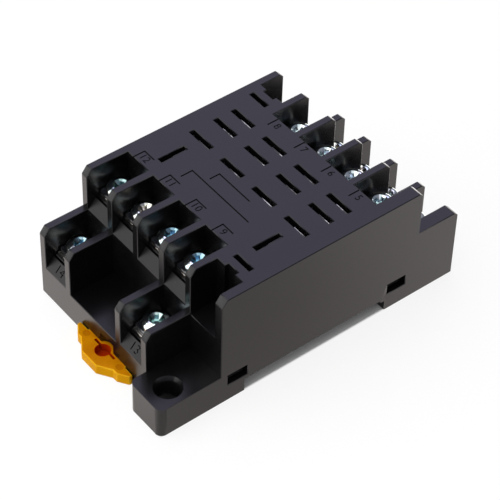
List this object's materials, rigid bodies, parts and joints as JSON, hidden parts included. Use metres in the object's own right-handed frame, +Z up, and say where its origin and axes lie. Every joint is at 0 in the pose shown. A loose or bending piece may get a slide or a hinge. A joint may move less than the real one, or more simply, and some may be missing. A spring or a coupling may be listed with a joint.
{
  "type": "plug-in relay socket",
  "caption": "Dark plastic rail-mount socket for a plug-in relay, with tiered screw terminals at both ends, slotted deck contacts and an amber rail latch.",
  "frame": {"origin": "midway between the two mounting holes, on the plane that the feet stand on", "axes": "+Z up out of the deck, +Y from the latch end to the rear end, +X to the right seen from the latch end"},
  "size_m": [0.0452, 0.0739, 0.0282],
  "materials": {
    "housing_plastic": "semi-gloss moulded",
    "cover_plastic": "semi-gloss moulded",
    "latch_plastic": "glossy, slightly translucent",
    "contact_metal": "tin plated",
    "clamp_metal": "zinc plated",
    "screw_metal": "blue-passivated zinc"
  },
  "bodies": {
    "socket": {"housing": "housing_plastic", "base_cover": "cover_plastic", "contact_1": "contact_metal", "contact_2": "contact_metal", "contact_3": "contact_metal", "contact_4": "contact_metal", "contact_5": "contact_metal", "contact_6": "contact_metal", "contact_7": "contact_metal", "contact_8": "contact_metal", "contact_9": "contact_metal", "contact_10": "contact_metal", "contact_11": "contact_metal", "contact_12": "contact_metal", "contact_13": "contact_metal", "contact_14": "contact_metal"},
    "latch": {"rail_latch": "latch_plastic"},
    "clamp_1": {"clamp_plate_1": "clamp_metal"},
    "screw_1": {"terminal_screw_1": "screw_metal"},
    "clamp_2": {"clamp_plate_2": "clamp_metal"},
    "screw_2": {"terminal_screw_2": "screw_metal"},
    "clamp_3": {"clamp_plate_3": "clamp_metal"},
    "screw_3": {"terminal_screw_3": "screw_metal"},
    "clamp_4": {"clamp_plate_4": "clamp_metal"},
    "screw_4": {"terminal_screw_4": "screw_metal"},
    "clamp_5": {"clamp_plate_5": "clamp_metal"},
    "screw_5": {"terminal_screw_5": "screw_metal"},
    "clamp_6": {"clamp_plate_6": "clamp_metal"},
    "screw_6": {"terminal_screw_6": "screw_metal"},
    "clamp_7": {"clamp_plate_7": "clamp_metal"},
    "screw_7": {"terminal_screw_7": "screw_metal"},
    "clamp_8": {"clamp_plate_8": "clamp_metal"},
    "screw_8": {"terminal_screw_8": "screw_metal"},
    "clamp_9": {"clamp_plate_9": "clamp_metal"},
    "screw_9": {"terminal_screw_9": "screw_metal"},
    "clamp_10": {"clamp_plate_10": "clamp_metal"},
    "screw_10": {"terminal_screw_10": "screw_metal"},
    "clamp_11": {"clamp_plate_11": "clamp_metal"},
    "screw_11": {"terminal_screw_11": "screw_metal"},
    "clamp_12": {"clamp_plate_12": "clamp_metal"},
    "screw_12": {"terminal_screw_12": "screw_metal"},
    "clamp_13": {"clamp_plate_13": "clamp_metal"},
    "screw_13": {"terminal_screw_13": "screw_metal"},
    "clamp_14": {"clamp_plate_14": "clamp_metal"},
    "screw_14": {"terminal_screw_14": "screw_metal"}
  },
  "joints": [
    {"name": "latch_slide", "type": "slide", "parent": "socket", "child": "latch", "axis": [0, -1, 0], "range_m": [0, 0.003], "stiffness_N_per_m": 400},
    {"name": "clamp_lift_1", "type": "slide", "parent": "socket", "child": "clamp_1", "axis": [0, 0, 1], "range_m": [0, 0.0024]},
    {"name": "screw_turn_1", "type": "hinge", "parent": "clamp_1", "child": "screw_1", "pos_m": [0.0161, 0.03078, 0.0119], "axis": [0, 0, 1], "range_deg": [0, 1440]},
    {"name": "clamp_lift_2", "type": "slide", "parent": "socket", "child": "clamp_2", "axis": [0, 0, 1], "range_m": [0, 0.0024]},
    {"name": "screw_turn_2", "type": "hinge", "parent": "clamp_2", "child": "screw_2", "pos_m": [0.0077, 0.03078, 0.0119], "axis": [0, 0, 1], "range_deg": [0, 1440]},
    {"name": "clamp_lift_3", "type": "slide", "parent": "socket", "child": "clamp_3", "axis": [0, 0, 1], "range_m": [0, 0.0024]},
    {"name": "screw_turn_3", "type": "hinge", "parent": "clamp_3", "child": "screw_3", "pos_m": [-0.0007, 0.03078, 0.0119], "axis": [0, 0, 1], "range_deg": [0, 1440]},
    {"name": "clamp_lift_4", "type": "slide", "parent": "socket", "child": "clamp_4", "axis": [0, 0, 1], "range_m": [0, 0.0024]},
    {"name": "screw_turn_4", "type": "hinge", "parent": "clamp_4", "child": "screw_4", "pos_m": [-0.0091, 0.03078, 0.0119], "axis": [0, 0, 1], "range_deg": [0, 1440]},
    {"name": "clamp_lift_5", "type": "slide", "parent": "socket", "child": "clamp_5", "axis": [0, 0, 1], "range_m": [0, 0.0024]},
    {"name": "screw_turn_5", "type": "hinge", "parent": "clamp_5", "child": "screw_5", "pos_m": [0.0161, 0.02138, 0.0221], "axis": [0, 0, 1], "range_deg": [0, 1440]},
    {"name": "clamp_lift_6", "type": "slide", "parent": "socket", "child": "clamp_6", "axis": [0, 0, 1], "range_m": [0, 0.0024]},
    {"name": "screw_turn_6", "type": "hinge", "parent": "clamp_6", "child": "screw_6", "pos_m": [0.0077, 0.02138, 0.0221], "axis": [0, 0, 1], "range_deg": [0, 1440]},
    {"name": "clamp_lift_7", "type": "slide", "parent": "socket", "child": "clamp_7", "axis": [0, 0, 1], "range_m": [0, 0.0024]},
    {"name": "screw_turn_7", "type": "hinge", "parent": "clamp_7", "child": "screw_7", "pos_m": [-0.0007, 0.02138, 0.0221], "axis": [0, 0, 1], "range_deg": [0, 1440]},
    {"name": "clamp_lift_8", "type": "slide", "parent": "socket", "child": "clamp_8", "axis": [0, 0, 1], "range_m": [0, 0.0024]},
    {"name": "screw_turn_8", "type": "hinge", "parent": "clamp_8", "child": "screw_8", "pos_m": [-0.0091, 0.02138, 0.0221], "axis": [0, 0, 1], "range_deg": [0, 1440]},
    {"name": "clamp_lift_9", "type": "slide", "parent": "socket", "child": "clamp_9", "axis": [0, 0, 1], "range_m": [0, 0.0024]},
    {"name": "screw_turn_9", "type": "hinge", "parent": "clamp_9", "child": "screw_9", "pos_m": [0.0077, -0.01663, 0.0221], "axis": [0, 0, 1], "range_deg": [0, 1440]},
    {"name": "clamp_lift_10", "type": "slide", "parent": "socket", "child": "clamp_10", "axis": [0, 0, 1], "range_m": [0, 0.0024]},
    {"name": "screw_turn_10", "type": "hinge", "parent": "clamp_10", "child": "screw_10", "pos_m": [-0.0007, -0.01663, 0.0221], "axis": [0, 0, 1], "range_deg": [0, 1440]},
    {"name": "clamp_lift_11", "type": "slide", "parent": "socket", "child": "clamp_11", "axis": [0, 0, 1], "range_m": [0, 0.0024]},
    {"name": "screw_turn_11", "type": "hinge", "parent": "clamp_11", "child": "screw_11", "pos_m": [-0.0091, -0.01663, 0.0221], "axis": [0, 0, 1], "range_deg": [0, 1440]},
    {"name": "clamp_lift_12", "type": "slide", "parent": "socket", "child": "clamp_12", "axis": [0, 0, 1], "range_m": [0, 0.0024]},
    {"name": "screw_turn_12", "type": "hinge", "parent": "clamp_12", "child": "screw_12", "pos_m": [-0.0175, -0.01663, 0.0221], "axis": [0, 0, 1], "range_deg": [0, 1440]},
    {"name": "clamp_lift_13", "type": "slide", "parent": "socket", "child": "clamp_13", "axis": [0, 0, 1], "range_m": [0, 0.0024]},
    {"name": "screw_turn_13", "type": "hinge", "parent": "clamp_13", "child": "screw_13", "pos_m": [0.0077, -0.02652, 0.0119], "axis": [0, 0, 1], "range_deg": [0, 1440]},
    {"name": "clamp_lift_14", "type": "slide", "parent": "socket", "child": "clamp_14", "axis": [0, 0, 1], "range_m": [0, 0.0024]},
    {"name": "screw_turn_14", "type": "hinge", "parent": "clamp_14", "child": "screw_14", "pos_m": [-0.0175, -0.02652, 0.0119], "axis": [0, 0, 1], "range_deg": [0, 1440]}
  ],
  "couplings": [
    {"joint": "screw_turn_1", "follows": "clamp_lift_1", "rad_per_m": 10472},
    {"joint": "screw_turn_2", "follows": "clamp_lift_2", "rad_per_m": 10472},
    {"joint": "screw_turn_3", "follows": "clamp_lift_3", "rad_per_m": 10472},
    {"joint": "screw_turn_4", "follows": "clamp_lift_4", "rad_per_m": 10472},
    {"joint": "screw_turn_5", "follows": "clamp_lift_5", "rad_per_m": 10472},
    {"joint": "screw_turn_6", "follows": "clamp_lift_6", "rad_per_m": 10472},
    {"joint": "screw_turn_7", "follows": "clamp_lift_7", "rad_per_m": 10472},
    {"joint": "screw_turn_8", "follows": "clamp_lift_8", "rad_per_m": 10472},
    {"joint": "screw_turn_9", "follows": "clamp_lift_9", "rad_per_m": 10472},
    {"joint": "screw_turn_10", "follows": "clamp_lift_10", "rad_per_m": 10472},
    {"joint": "screw_turn_11", "follows": "clamp_lift_11", "rad_per_m": 10472},
    {"joint": "screw_turn_12", "follows": "clamp_lift_12", "rad_per_m": 10472},
    {"joint": "screw_turn_13", "follows": "clamp_lift_13", "rad_per_m": 10472},
    {"joint": "screw_turn_14", "follows": "clamp_lift_14", "rad_per_m": 10472}
  ]
}
